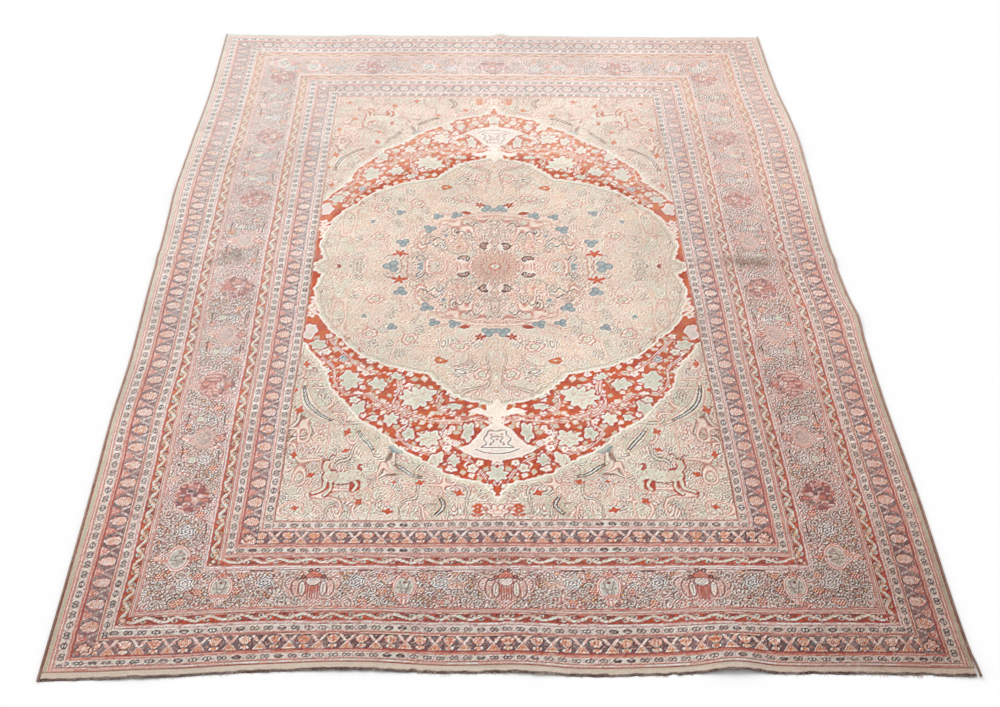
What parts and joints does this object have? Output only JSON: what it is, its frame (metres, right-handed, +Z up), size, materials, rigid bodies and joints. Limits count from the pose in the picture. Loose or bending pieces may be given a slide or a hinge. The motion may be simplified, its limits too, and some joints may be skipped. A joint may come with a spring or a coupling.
{
  "type": "persian rug",
  "caption": "Worn hand-knotted room carpet lying flat, with a cusped medallion, striped borders, overcast long sides and flat-woven ends frayed into short locks.",
  "frame": {"origin": "under the middle of the whole rug, on the floor it lies on", "axes": "+X across the rug to its right side, +Y along it to its far end, +Z up out of the pile"},
  "size_m": [2.5822, 3.7968, 0.0203],
  "materials": {
    "knotted_wool": "short worn wool pile, matt",
    "overcast_wool": "wool wrapped over a side cord, matt",
    "cotton_weave": "flat weave with frayed warps, matt"
  },
  "bodies": {
    "root": {"knotted_pile": "knotted_wool", "side_cord_left": "overcast_wool", "side_cord_right": "overcast_wool", "woven_end_near": "cotton_weave", "woven_end_far": "cotton_weave"}
  },
  "joints": []
}
